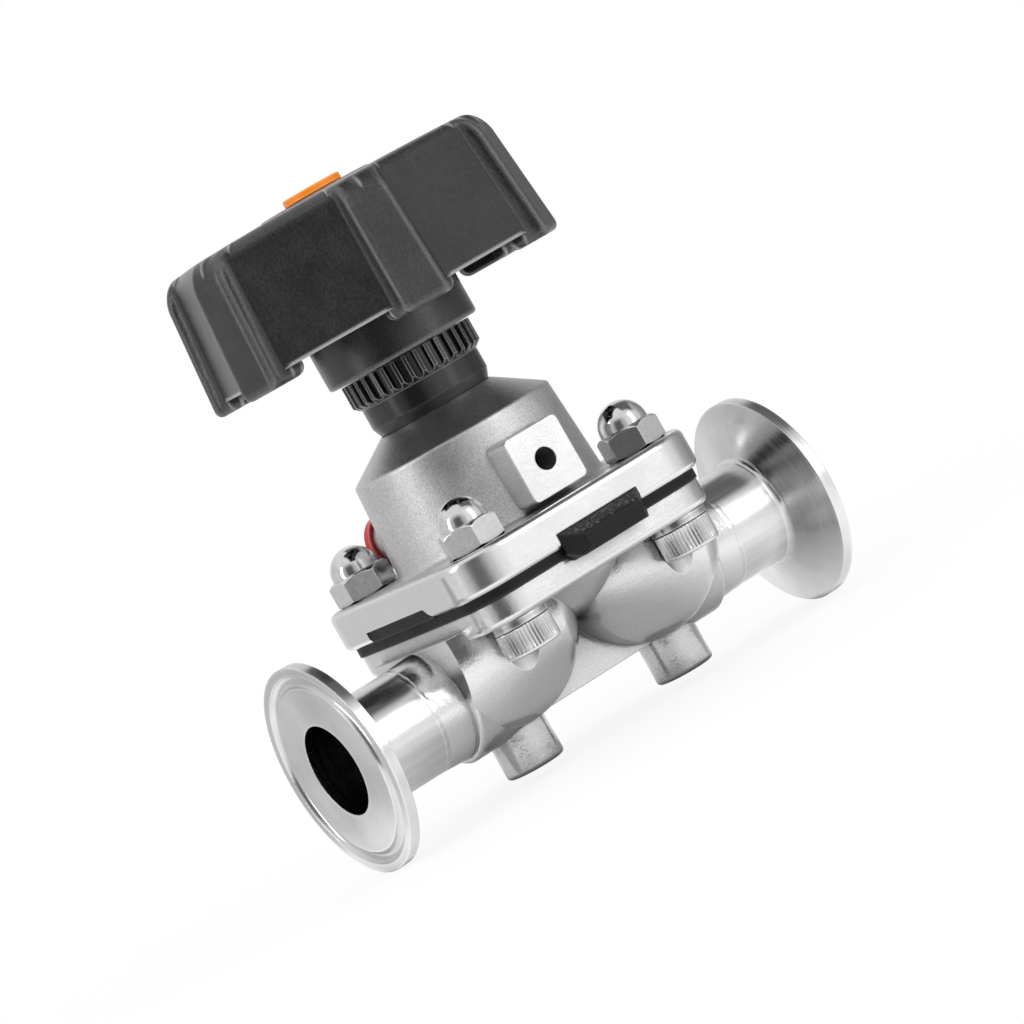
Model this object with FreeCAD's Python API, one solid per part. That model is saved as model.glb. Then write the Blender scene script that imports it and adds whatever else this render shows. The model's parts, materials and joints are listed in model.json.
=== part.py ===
import FreeCAD
import Part

import math
import os

# A hand-operated sanitary diaphragm valve for one inch tube, with clamp ends, shown closed.
# Millimetres. X runs along the pipe, Z up the stem, and the origin is where the two cross.
# Minus Y is the front, with the square leak port. The inlet is at minus X.

# Pipe and clamp ends
FACE_TO_FACE = 130.0
TUBE_OD = 25.4
TUBE_WALL = 1.65
FERRULE_OD = 50.5
FERRULE_LENGTH = 21.5
FERRULE_RIM = 2.55
FERRULE_SLOPE = 20.0
FERRULE_ROOT_R = 1.8
GROOVE_DIAMETER = 43.5
GROOVE_WIDTH = 3.0
GROOVE_DEPTH = 1.2

# Valve body
BODY_FLANGE_THICK = 5.7
BODY_FLANGE_INSET = 2.2
BODY_FLANGE_EDGE = 1.5
FLANGE_TOP_Z = 16.0
BULB_R = 22.0
BULB_PITCH = 42.0
BULB_AXIS_Z = 9.0
BULB_FLAT = 12.0
BULB_INSET = 15.0
BODY_WALL = 3.5
COLLAR_END = 36.0
COLLAR_R = 16.0
COLLAR_LIFT = 1.5
COLLAR_EDGE = 0.9
STUB_FLARE = 0.5
WEB_THICK = 8.0
WEB_BOTTOM_Z = -12.7
FOOT_D = 14.2
FOOT_PITCH = 44.4
FOOT_BOTTOM_Z = -22.7
FOOT_EDGE = 1.0
FOOT_HOLE_D = 6.8
FOOT_HOLE_DEPTH = 7.0
HEAD_POCKET_R = 7.4

# Flow chamber and weir
CHAMBER_STEP = 2.0
WEIR_DROP = 11.5
DISH_FLAT = 3.0
SEAT_GAP = 0.2

# Diaphragm
DIAPHRAGM_THICK = 2.3
DIAPHRAGM_INSET = 1.8
FRONT_TAB_REACH = 4.5
FRONT_TAB_HALF = 7.9
FRONT_TAB_SHIFT = 1.2
FRONT_TAB_FLARE = 3.4
FRONT_TAB_DROP = 1.2
FRONT_TAB_RISE = 1.1
FRONT_TAB_ROOT_RISE = 3.2
FRONT_TAB_EDGE = 1.2
FRONT_TAB_CORNER = 2.0
SIDE_TAB_HALF = 16.7
SIDE_TAB_FLARE = 2.9
SIDE_TAB_RISE = 2.7
SIDE_TAB_INSET = 0.4
TAB_DEPTH = 3.0
TAB_GAP = 0.1
STUD_PAD_R = 6.0
STUD_PAD_HIGH = 2.2

# Bonnet
FLANGE_HALF_X = 34.5
FLANGE_HALF_Y = 39.5
FLANGE_CORNER = 12.5
BONNET_FLANGE_THICK = 9.2
FLANGE_EDGE = 1.6
CUP_TO_BOLT = 11.45
CUP_TAPER = 1.35
CUP_WALL = 5.45
CUP_EDGE = 1.2
CUP_ROOT = 1.5
CUP_HIGH = 22.7
SHOULDER_R = 14.0
SHOULDER_HIGH = 7.0
NECK_R = 12.3
NECK_HIGH = 7.4
CAVITY_ROOF = 8.2
BUSH_BORE_R = 7.2
NUT_CHAMBER_R = 9.8
NUT_CHAMBER_DEPTH = 6.6
PORT_PROUD = 7.55
PORT_HALF = 7.35
PORT_CORNER = 1.2
PORT_FOOT = 1.5
PORT_HIGH = 15.2
PORT_HOLE_D = 5.2
PLUG_AZIMUTH = 106.0
PLUG_BOSS_R = 5.6
PLUG_PROUD = 10.65
PLUG_HEAD_R = 6.6
PLUG_HEAD_THICK = 2.4
PLUG_EDGE = 0.8
PLUG_STEM_R = 3.0
PLUG_STEM_BACK = 2.0
PLUG_LIFT = 7.9

# Bolting
BOLT_INSET_X = 11.5
BOLT_INSET_Y = 10.0
BOLT_D = 8.0
BOLT_CLEARANCE = 0.4
SCREW_HEAD_D = 13.2
SCREW_HEAD_HIGH = 6.4
SCREW_HEAD_EDGE = 0.8
SOCKET_FLATS = 6.0
SOCKET_DEPTH = 4.0
WASHER_OD = 13.4
WASHER_THICK = 1.6
NUT_FLATS = 13.0
NUT_HEX_HIGH = 5.8
NUT_DOME_D = 11.5
NUT_HIGH = 12.0
NUT_THREAD_DEPTH = 8.6
NUT_FOOT_CHAMFER = 0.5
NUT_TOP_CHAMFER = 0.8
NUT_TURNS = {(-1, 1): 42.0, (-1, -1): 27.0, (1, -1): 22.0, (1, 1): 35.0}
THREAD_GAP = 0.05

# Neck parts
SLEEVE_R = 14.6
SLEEVE_FOOT_R = 13.6
SLEEVE_CHAMFER = 2.5
RING_TIP_R = 16.2
RING_ROOT_R = 15.1
RING_HIGH = 6.5
RING_BITE = 1.0
SPIGOT_HIGH = 0.4
RING_TEETH = 36
RING_TOOTH_TIP_SHARE = 0.34
RING_TOOTH_ROOT_SHARE = 0.62
RING_TAPER = 2.0
RING_TAPER_R = 14.8
THRUST_WASHER_THICK = 1.2
THRUST_WASHER_R = 9.5
RUNNING_GAP = 0.1
FIT = 0.05

# Drive nut and spindle
SPINDLE_R = 5.0
DRIVE_COLLAR_R = 9.5
DRIVE_SHANK_R = 7.5
DRIVE_FLATS = 13.0
DRIVE_NECK_R = 6.4
DRIVE_NECK_HIGH = 4.0
CLIP_OUTER_R = 8.6
CLIP_THICK = 1.2
CLIP_GROOVE_DEPTH = 0.5
CLIP_GAP_ANGLE = 40.0
SPINDLE_FOOT_Z = 19.0
SPINDLE_SHOULDER = 2.0
INDICATOR_ROD_R = 3.0
BUSH_LENGTH = 14.5
O_RING_SECTION = 1.8
O_RING_DEPTH = 7.0

# Compressor
COMPRESSOR_GAP = 0.3
COMPRESSOR_BOSS_R = 9.0
COMPRESSOR_TOP_Z = 30.0
FINGER_COUNT = 8
FINGER_WIDTH = 4.4
FINGER_TOP_Z = 18.0
WING_WIDTH = 5.0
WING_OVERLAP = 1.4
WING_BOTTOM_Z = 19.0
GUIDE_GAP = 0.3
GUIDE_TOP_Z = 40.0
PIN_R = 2.0
PIN_Z = 24.5
STUD_R = 2.5
STUD_HEAD_R = 4.0
STUD_HEAD_HIGH = 1.4
STUD_SKIN = 1.5
STUD_TOP_Z = 18.0

# Handwheel
WHEEL_SIDES = 6
LOBE_AZIMUTH = 16.4
HUB_R = 18.7
HUB_GAP = 0.3
HUB_HIGH = 12.6
HUB_EDGE = 0.8
LOBE_LIFT = 7.1
SKIRT_LIFT = 2.7
WHEEL_HIGH = 33.0
DRAFT = 5.0
LOBE_R = 44.2
LOBE_HALF = 5.95
LOBE_EDGE = 1.5
LOBE_TOP_FALL = 7.6
LOBE_TOP_RUN = 5.6
LOBE_SKIRT_CORNER = 2.0
LOBE_PROUD = 6.2
FLAT_INSET = 9.24
FLAT_TOP_EDGE = 3.4
CROWN_FALL = 0.9
WHEEL_WALL = 3.0
RIB_THICK = 2.4
COLUMN_R = 12.6
CLIP_WELL_R = 9.6
LABEL_R = 13.6
LABEL_THICK = 0.8
LABEL_PROUD = 0.2
ROD_HOLE_R = 3.3
INDICATOR_R = 7.15
INDICATOR_HIGH = 1.6
INDICATOR_GAP = 0.3
INDICATOR_EDGE = 0.4
CAP_THICK = 0.5

# Worked out from the sizes above
HALF_LENGTH = FACE_TO_FACE / 2
BOLT_X = FLANGE_HALF_X - BOLT_INSET_X
BOLT_Y = FLANGE_HALF_Y - BOLT_INSET_Y
CUP_BOTTOM_R = math.hypot(BOLT_X, BOLT_Y) - CUP_TO_BOLT
CUP_TOP_R = CUP_BOTTOM_R - CUP_TAPER
CAVITY_R = CUP_BOTTOM_R - CUP_WALL
CHAMBER_R = CAVITY_R + CHAMBER_STEP
WING_REACH = CAVITY_R + WING_OVERLAP
PORT_FACE_Y = CUP_BOTTOM_R + PORT_PROUD
BULB_END = FLANGE_HALF_Y - BULB_INSET - BULB_FLAT / 2
TUBE_R = TUBE_OD / 2
BORE_R = TUBE_R - TUBE_WALL
STUB_END = HALF_LENGTH - FERRULE_LENGTH
BODY_FLANGE_Z = FLANGE_TOP_Z - BODY_FLANGE_THICK
INSIDE_FLANGE_Z = FLANGE_TOP_Z - BODY_FLANGE_THICK / 2
BONNET_Z = FLANGE_TOP_Z + DIAPHRAGM_THICK
NUT_SEAT_Z = BONNET_Z + BONNET_FLANGE_THICK
PORT_BOTTOM_Z = NUT_SEAT_Z + PORT_FOOT
PORT_TOP_Z = PORT_BOTTOM_Z + PORT_HIGH
PLUG_Z = NUT_SEAT_Z + PLUG_LIFT
PLUG_FACE_R = CUP_BOTTOM_R + PLUG_PROUD
PLUG_SEAT_R = PLUG_FACE_R - PLUG_HEAD_THICK
CUP_TOP_Z = NUT_SEAT_Z + CUP_HIGH
SHOULDER_Z = CUP_TOP_Z + SHOULDER_HIGH
NECK_TOP_Z = SHOULDER_Z + NECK_HIGH
CAVITY_TOP_Z = CUP_TOP_Z - CAVITY_ROOF
NUT_CHAMBER_Z = NECK_TOP_Z - NUT_CHAMBER_DEPTH
O_RING_Z = NUT_CHAMBER_Z - O_RING_DEPTH
DOME_R = CHAMBER_R - SEAT_GAP
DOME_DROP = WEIR_DROP - SEAT_GAP
RING_BOTTOM_Z = NECK_TOP_Z
RING_TOP_Z = NECK_TOP_Z + RING_HIGH
HUB_BOTTOM_Z = RING_TOP_Z + HUB_GAP
HUB_STEP_Z = HUB_BOTTOM_Z + HUB_HIGH
LOBE_BOTTOM_Z = HUB_BOTTOM_Z + LOBE_LIFT
WHEEL_BOTTOM_Z = LOBE_BOTTOM_Z + SKIRT_LIFT
CROWN_Z = LOBE_BOTTOM_Z + WHEEL_HIGH
FLAT_APOTHEM = LOBE_R - LOBE_PROUD
FLAT_HALF = FLAT_APOTHEM * math.tan(math.pi / WHEEL_SIDES) - FLAT_INSET
DRIVE_TOP_Z = HUB_STEP_Z + DRIVE_NECK_HIGH
SPINDLE_SHOULDER_Z = DRIVE_TOP_Z + SPINDLE_SHOULDER
COLLAR_BOTTOM_Z = NUT_CHAMBER_Z + THRUST_WASHER_THICK + RUNNING_GAP
SPIGOT_Z = NECK_TOP_Z - SPIGOT_HIGH
UPPER_WASHER_Z = SPIGOT_Z - RUNNING_GAP - THRUST_WASHER_THICK
COLLAR_TOP_Z = UPPER_WASHER_Z - RUNNING_GAP
LABEL_TOP_Z = CROWN_Z + LABEL_PROUD
INDICATOR_Z = LABEL_TOP_Z + INDICATOR_GAP
WEIR_TOP_Z = FLANGE_TOP_Z - WEIR_DROP
DOME_BOTTOM_Z = FLANGE_TOP_Z - DOME_DROP
DOME_TOP_Z = DOME_BOTTOM_Z + DIAPHRAGM_THICK

V = FreeCAD.Vector
X_AXIS = V(1, 0, 0)
Y_AXIS = V(0, 1, 0)
Z_AXIS = V(0, 0, 1)
ORIGIN = V(0, 0, 0)
NEAR = 0.01


# Shape helpers
def in_xz(u, v):
    return V(u, 0, v)


def in_xy(u, v):
    return V(u, v, 0)


def face(place, start, *steps):
    """A flat face in the plane of place(u, v): a step is a point, an arc (middle, end),
    or a quarter ellipse ("quarter", centre, end)."""
    edges = []
    here = start
    for step in steps:
        if step[0] == "quarter":
            centre, end = step[1:]
            edges.append(quarter_ellipse(place(*centre), place(*here), place(*end)))
        elif isinstance(step[0], tuple):
            middle, end = step
            edges.append(Part.Arc(place(*here), place(*middle), place(*end)).toShape())
        else:
            end = step
            if end != here:
                edges.append(Part.makeLine(place(*here), place(*end)))
        here = end
    if here != start:
        edges.append(Part.makeLine(place(*here), place(*start)))
    return Part.Face(Part.Wire(edges))


def quarter_ellipse(centre, start, end):
    if (start - centre).Length >= (end - centre).Length:
        whole = Part.Ellipse(start, end, centre)
    else:
        whole = Part.Ellipse(end, start, centre)
    return Part.ArcOfEllipse(whole, 0, math.pi / 2).toShape()


def turned(start, *steps):
    """A solid of revolution about the stem, from a profile of (radius, z)."""
    return face(in_xz, start, *steps).revolve(ORIGIN, Z_AXIS, 360)


def turned_on_pipe(start, *steps):
    """A solid of revolution about the pipe, from a profile of (x, radius)."""
    return face(in_xz, start, *steps).revolve(ORIGIN, X_AXIS, 360)


def cylinder(radius, bottom, top, x=0.0, y=0.0):
    return Part.makeCylinder(radius, top - bottom, V(x, y, bottom))


def tube(outer, inner, bottom, top):
    return cylinder(outer, bottom, top).cut(cylinder(inner, bottom, top))


def rod(radius, start, end):
    run = end - start
    return Part.makeCylinder(radius, run.Length, start, run)


def block(x0, x1, y0, y1, z0, z1):
    return Part.makeBox(x1 - x0, y1 - y0, z1 - z0, V(x0, y0, z0))


def rounded_plate(half_x, half_y, corner, bottom, top):
    plate = block(-half_x, half_x, -half_y, half_y, bottom, top)
    return plate.makeFillet(corner, upright_edges(plate))


def hexagon(flats, bottom, top):
    reach = flats / math.sqrt(3)
    corners = [in_xy(*polar(reach, 60 * side)) for side in range(6)]
    prism = Part.Face(Part.makePolygon(corners + corners[:1])).extrude(V(0, 0, top - bottom))
    return moved(prism, 0, 0, bottom)


def polar(radius, degrees):
    angle = math.radians(degrees)
    return radius * math.cos(angle), radius * math.sin(angle)


def moved(shape, x, y, z):
    copy = shape.copy()
    copy.translate(V(x, y, z))
    return copy


def spun(shape, degrees):
    copy = shape.copy()
    copy.rotate(ORIGIN, Z_AXIS, degrees)
    return copy


def both_ends(shape):
    """The shape and its copy turned half round the stem."""
    return [shape, spun(shape, 180)]


def fused(first, *others):
    whole = first.multiFuse(list(others)) if others else first
    return whole.removeSplitter()


def upright_edges(shape):
    return [e for e in shape.Edges if is_upright(e)]


def is_upright(edge):
    run = edge.lastVertex().Point - edge.firstVertex().Point
    return run.Length > 0 and abs(run.z) > 0.999 * run.Length


def round_edges_at(shape, z, radius, keep):
    """A fillet on the edges that lie at height z and pass the test."""
    level = [e for e in shape.Edges if all(abs(v.Z - z) < NEAR for v in e.Vertexes) and keep(e)]
    return shape.makeFillet(radius, level)


def round_rim(plate, z, radius):
    """A fillet right round the plate's rim at height z."""
    return round_edges_at(plate, z, radius, lambda edge: True)


def is_round(edge):
    return edge.Curve.TypeId == "Part::GeomCircle"


def at_bolts(shape):
    return [moved(shape, sx * BOLT_X, sy * BOLT_Y, 0) for sx in (-1, 1) for sy in (-1, 1)]


def save(name, shapes):
    shapes = shapes if isinstance(shapes, list) else [shapes]
    solids = [solid for shape in shapes for solid in shape.Solids]
    whole = solids[0] if len(solids) == 1 else Part.makeCompound(solids)
    print(f"{name}: {len(solids)} solids, {whole.Volume:.0f} mm3, valid {whole.isValid()}")
    whole.exportStep(f"parts/{name}.step")


# Valve body
def bulb():
    """One side of the casting: a barrel across the pipe, with elliptical ends."""
    flat = BULB_FLAT / 2
    profile = face(
        lambda y, r: V(0, y, r),
        (-flat - BULB_END, 0),
        ("quarter", (-flat, 0), (-flat, BULB_R)),
        (flat, BULB_R),
        ("quarter", (flat, 0), (flat + BULB_END, 0)),
    )
    return moved(profile.revolve(ORIGIN, Y_AXIS, 360), BULB_PITCH / 2, 0, BULB_AXIS_Z)


def bulb_pocket():
    """The flow space inside one barrel, a wall's thickness in from its skin."""
    flat = BULB_FLAT / 2
    end = BULB_END - BODY_WALL
    high = BULB_R - BODY_WALL
    profile = face(
        lambda y, r: V(0, y, r),
        (-flat - end, 0),
        ("quarter", (-flat, 0), (-flat, high)),
        (flat, high),
        ("quarter", (flat, 0), (flat + end, 0)),
    )
    barrel = moved(profile.revolve(ORIGIN, Y_AXIS, 360), BULB_PITCH / 2, 0, BULB_AXIS_Z)
    return barrel.common(cylinder(CHAMBER_R, WEB_BOTTOM_Z, FLANGE_TOP_Z))


def collar():
    """The neck ring where the casting narrows to the tube, with its tube stub."""
    start = BULB_PITCH / 2
    ring = rod(COLLAR_R, V(start, 0, COLLAR_LIFT), V(COLLAR_END, 0, COLLAR_LIFT))
    rim = [e for e in ring.Edges if e.BoundBox.XMin > COLLAR_END - NEAR]
    ring = ring.makeFillet(COLLAR_EDGE, rim)
    ring = ring.common(block(start, COLLAR_END, -COLLAR_R, COLLAR_R, -COLLAR_R, INSIDE_FLANGE_Z))
    flare = TUBE_R + STUB_FLARE
    stub = turned_on_pipe((start, 0), (start, flare), (COLLAR_END, flare), (STUB_END, TUBE_R), (STUB_END, 0))
    return ring.fuse(stub)


def foot():
    """A round boss under the casting, tapped for a support bracket."""
    boss = cylinder(FOOT_D / 2, FOOT_BOTTOM_Z, 0)
    boss = round_edges_at(boss, FOOT_BOTTOM_Z, FOOT_EDGE, is_round)
    return moved(boss, FOOT_PITCH / 2, 0, 0)


def foot_hole():
    return cylinder(FOOT_HOLE_D / 2, FOOT_BOTTOM_Z, FOOT_BOTTOM_Z + FOOT_HOLE_DEPTH, FOOT_PITCH / 2)


def dish(radius, drop, rim_z, top_z):
    """A bowl hanging from rim_z, flat in the middle, with a straight wall above it up to top_z."""
    return turned(
        (0, rim_z - drop),
        (DISH_FLAT, rim_z - drop),
        ("quarter", (DISH_FLAT, rim_z), (radius, rim_z)),
        (radius, top_z),
        (0, top_z),
    )


def valve_body():
    outlet_side = block(0, COLLAR_END, -FLANGE_HALF_Y, FLANGE_HALF_Y, FOOT_BOTTOM_Z, INSIDE_FLANGE_Z)
    flange = rounded_plate(
        FLANGE_HALF_X - BODY_FLANGE_INSET,
        FLANGE_HALF_Y - BODY_FLANGE_INSET,
        FLANGE_CORNER - BODY_FLANGE_INSET,
        BODY_FLANGE_Z,
        FLANGE_TOP_Z,
    )
    flange = round_rim(flange, BODY_FLANGE_Z, BODY_FLANGE_EDGE)
    web = block(
        -BULB_PITCH / 2, BULB_PITCH / 2, -WEB_THICK / 2, WEB_THICK / 2, WEB_BOTTOM_Z, BODY_FLANGE_Z
    )
    bowl = dish(CHAMBER_R + BODY_WALL, WEIR_DROP + BODY_WALL, FLANGE_TOP_Z, FLANGE_TOP_Z)
    bowl = bowl.common(block(-BULB_R, BULB_R, -FLANGE_HALF_Y, FLANGE_HALF_Y, 0, INSIDE_FLANGE_Z))
    half = bulb().common(outlet_side).fuse(collar())
    casting = fused(*both_ends(half), bowl)
    for pocket in at_bolts(cylinder(HEAD_POCKET_R, FOOT_BOTTOM_Z, BODY_FLANGE_Z)):
        casting = casting.cut(pocket)
    casting = fused(casting, flange, web, *both_ends(foot()))
    hollow = [dish(CHAMBER_R, WEIR_DROP, FLANGE_TOP_Z, FLANGE_TOP_Z)]
    hollow += both_ends(bulb_pocket())
    hollow += both_ends(rod(BORE_R, V(BULB_PITCH / 2 - BODY_WALL, 0, 0), V(HALF_LENGTH, 0, 0)))
    hollow += both_ends(foot_hole())
    hollow += at_bolts(cylinder(BOLT_D / 2 + BOLT_CLEARANCE, BODY_FLANGE_Z, FLANGE_TOP_Z))
    hollow += both_ends(front_tab(TAB_GAP))
    for cutter in hollow:
        casting = casting.cut(cutter)
    return casting.removeSplitter()


def ferrule():
    """A clamp ferrule on a short tube, at the outlet end."""
    rim_x = HALF_LENGTH - FERRULE_RIM
    rim_r = FERRULE_OD / 2
    root_x = rim_x - (rim_r - TUBE_R) * math.tan(math.radians(FERRULE_SLOPE))
    groove_in = GROOVE_DIAMETER / 2 - GROOVE_WIDTH / 2
    groove_out = GROOVE_DIAMETER / 2 + GROOVE_WIDTH / 2
    groove_mid = (HALF_LENGTH - GROOVE_DEPTH, GROOVE_DIAMETER / 2)
    blank = turned_on_pipe(
        (STUB_END, BORE_R),
        (STUB_END, TUBE_R),
        (root_x, TUBE_R),
        (rim_x, rim_r),
        (HALF_LENGTH, rim_r),
        (HALF_LENGTH, groove_out),
        (groove_mid, (HALF_LENGTH, groove_in)),
        (HALF_LENGTH, BORE_R),
    )
    root = [
        e
        for e in blank.Edges
        if e.BoundBox.XLength < NEAR
        and abs(e.BoundBox.XMin - root_x) < NEAR
        and abs(e.BoundBox.ZMax - TUBE_R) < NEAR
    ]
    return blank.makeFillet(FERRULE_ROOT_R, root)


# Diaphragm
def front_tab(gap):
    """The proud rubber tab on the front edge, grown by the gap where it cuts its own recess."""
    bottom = FLANGE_TOP_Z - FRONT_TAB_DROP - gap
    face_top = BONNET_Z + FRONT_TAB_RISE
    root_top = BONNET_Z + FRONT_TAB_ROOT_RISE + gap
    front = -FLANGE_HALF_Y - FRONT_TAB_REACH
    back = -FLANGE_HALF_Y + TAB_DEPTH + gap
    side = face(
        lambda y, z: V(-FLANGE_HALF_X, y, z),
        (back, bottom),
        (front, bottom),
        (front, face_top),
        (-FLANGE_HALF_Y, root_top),
        (back, root_top),
    ).extrude(V(2 * FLANGE_HALF_X, 0, 0))
    side = side.makeFillet(FRONT_TAB_EDGE, [e for e in side.Edges if e.BoundBox.YMax < front + NEAR])
    half = FRONT_TAB_HALF + gap
    root_half = FRONT_TAB_HALF + FRONT_TAB_FLARE + gap
    plan = face(
        in_xy,
        (-half, front),
        (half, front),
        (root_half, -FLANGE_HALF_Y),
        (root_half, back),
        (-root_half, back),
        (-root_half, -FLANGE_HALF_Y),
    ).extrude(V(0, 0, CUP_TOP_Z))
    plan = plan.makeFillet(FRONT_TAB_EDGE, [e for e in upright_edges(plan) if e.BoundBox.YMax < front + NEAR])
    outline = face(
        lambda x, z: V(x, front, z),
        (-root_half, root_top),
        (-root_half, bottom + FRONT_TAB_CORNER),
        (-root_half + FRONT_TAB_CORNER, bottom),
        (root_half - FRONT_TAB_CORNER, bottom),
        (root_half, bottom + FRONT_TAB_CORNER),
        (root_half, root_top),
    ).extrude(V(0, back - front, 0))
    return moved(side.common(plan).common(outline), FRONT_TAB_SHIFT, 0, 0)


def side_tab(gap):
    """The flush rubber tab let into the bonnet flange on the outlet side."""
    face_x = FLANGE_HALF_X - SIDE_TAB_INSET if gap == 0 else FLANGE_HALF_X
    back = FLANGE_HALF_X - TAB_DEPTH - gap
    half = SIDE_TAB_HALF + gap
    top = BONNET_Z + SIDE_TAB_RISE + gap
    outline = face(
        lambda y, z: V(back, y, z),
        (-half, BONNET_Z),
        (half, BONNET_Z),
        (half - SIDE_TAB_FLARE, top),
        (-half, top),
    )
    return outline.extrude(V(face_x - back, 0, 0))


def diaphragm():
    sheet = rounded_plate(
        FLANGE_HALF_X - DIAPHRAGM_INSET,
        FLANGE_HALF_Y - DIAPHRAGM_INSET,
        FLANGE_CORNER - DIAPHRAGM_INSET,
        FLANGE_TOP_Z,
        BONNET_Z,
    )
    sheet = fused(
        sheet,
        *both_ends(front_tab(0)),
        *both_ends(side_tab(0)),
        dish(DOME_R, DOME_DROP, FLANGE_TOP_Z, FLANGE_TOP_Z + DIAPHRAGM_THICK / 2),
    )
    inner = dish(DOME_R - DIAPHRAGM_THICK, DOME_DROP, BONNET_Z, BONNET_Z)
    sheet = sheet.cut(inner)
    pad = cylinder(STUD_PAD_R, DOME_BOTTOM_Z + DIAPHRAGM_THICK / 2, DOME_TOP_Z + STUD_PAD_HIGH)
    sheet = sheet.fuse(pad)
    sheet = sheet.cut(stud(COMPRESSOR_GAP))
    holes = at_bolts(cylinder(BOLT_D / 2 + BOLT_CLEARANCE, FLANGE_TOP_Z, BONNET_Z))
    sheet = sheet.cut(Part.makeCompound(holes))
    return sheet.removeSplitter()


def stud(gap):
    """The stud moulded into the diaphragm, grown by the gap where it cuts its own socket."""
    head_z = DOME_BOTTOM_Z + STUD_SKIN
    head = cylinder(STUD_HEAD_R + gap, head_z - gap, head_z + STUD_HEAD_HIGH + gap)
    return head.fuse(cylinder(STUD_R + gap, head_z, STUD_TOP_Z)).removeSplitter()


# Bonnet
def cup():
    """The turned part of the bonnet, from its flange up to the neck."""
    root_sag = CUP_ROOT * (1 - math.sqrt(0.5))
    root_middle = (CUP_BOTTOM_R + root_sag, NUT_SEAT_Z + root_sag)
    solid = turned(
        (0, BONNET_Z),
        (CUP_BOTTOM_R + CUP_ROOT, BONNET_Z),
        (CUP_BOTTOM_R + CUP_ROOT, NUT_SEAT_Z),
        (root_middle, (CUP_BOTTOM_R, NUT_SEAT_Z + CUP_ROOT)),
        (CUP_TOP_R, CUP_TOP_Z),
        (SHOULDER_R, SHOULDER_Z),
        (NECK_R, SHOULDER_Z),
        (NECK_R, NECK_TOP_Z),
        (0, NECK_TOP_Z),
    )
    return round_edges_at(solid, CUP_TOP_Z, CUP_EDGE, is_round)


def leak_port():
    """The square boss on the front of the bonnet."""
    boss = block(-PORT_HALF, PORT_HALF, -PORT_FACE_Y, -CAVITY_R, PORT_BOTTOM_Z, PORT_TOP_Z)
    corners = [e for e in boss.Edges if e.BoundBox.YLength > 1]
    return boss.makeFillet(PORT_CORNER, corners)


def bonnet():
    flange = rounded_plate(FLANGE_HALF_X, FLANGE_HALF_Y, FLANGE_CORNER, BONNET_Z, NUT_SEAT_Z)
    for z in (BONNET_Z, NUT_SEAT_Z):
        flange = round_rim(flange, z, FLANGE_EDGE)
    casting = fused(flange, cup(), leak_port(), plug_rod(PLUG_BOSS_R, CAVITY_R, PLUG_SEAT_R))
    port_z = (PORT_BOTTOM_Z + PORT_TOP_Z) / 2
    guides = block(
        -WING_REACH - GUIDE_GAP,
        WING_REACH + GUIDE_GAP,
        -WING_WIDTH / 2 - GUIDE_GAP,
        WING_WIDTH / 2 + GUIDE_GAP,
        BONNET_Z,
        GUIDE_TOP_Z,
    )
    hollow = [
        cylinder(CAVITY_R, BONNET_Z, CAVITY_TOP_Z),
        guides,
        cylinder(BUSH_BORE_R, CAVITY_TOP_Z, NUT_CHAMBER_Z),
        cylinder(NUT_CHAMBER_R, NUT_CHAMBER_Z, NECK_TOP_Z),
        rod(PORT_HOLE_D / 2, V(0, -PORT_FACE_Y, port_z), V(0, 0, port_z)),
        plug_rod(PLUG_STEM_R + FIT, 0, PLUG_SEAT_R),
    ]
    hollow += at_bolts(cylinder(BOLT_D / 2 + BOLT_CLEARANCE, BONNET_Z, NUT_SEAT_Z))
    hollow += both_ends(front_tab(TAB_GAP))
    hollow += both_ends(side_tab(TAB_GAP))
    for cutter in hollow:
        casting = casting.cut(cutter)
    return casting.removeSplitter()


def plug_rod(radius, start, end):
    """A rod on the plug's line, between two distances from the stem."""
    return spun(rod(radius, V(start, 0, PLUG_Z), V(end, 0, PLUG_Z)), PLUG_AZIMUTH)


def leak_port_plug():
    head = rod(PLUG_HEAD_R, V(PLUG_SEAT_R, 0, PLUG_Z), V(PLUG_FACE_R, 0, PLUG_Z))
    outer = [e for e in head.Edges if e.BoundBox.XMin > PLUG_FACE_R - NEAR]
    head = spun(head.makeFillet(PLUG_EDGE, outer), PLUG_AZIMUTH)
    return head.fuse(plug_rod(PLUG_STEM_R, CAVITY_R + PLUG_STEM_BACK, PLUG_SEAT_R)).removeSplitter()


# Bolting
def cap_screw():
    seat = BODY_FLANGE_Z - WASHER_THICK
    head = cylinder(SCREW_HEAD_D / 2, seat - SCREW_HEAD_HIGH, seat)
    head = round_edges_at(head, seat - SCREW_HEAD_HIGH, SCREW_HEAD_EDGE, is_round)
    head = head.cut(hexagon(SOCKET_FLATS, seat - SCREW_HEAD_HIGH, seat - SCREW_HEAD_HIGH + SOCKET_DEPTH))
    shank_top = NUT_SEAT_Z + NUT_THREAD_DEPTH - BOLT_CLEARANCE
    return head.fuse(cylinder(BOLT_D / 2 - THREAD_GAP, seat, shank_top)).removeSplitter()


def screw_washer():
    return tube(WASHER_OD / 2, BOLT_D / 2 + BOLT_CLEARANCE / 2, BODY_FLANGE_Z - WASHER_THICK, BODY_FLANGE_Z)


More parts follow.
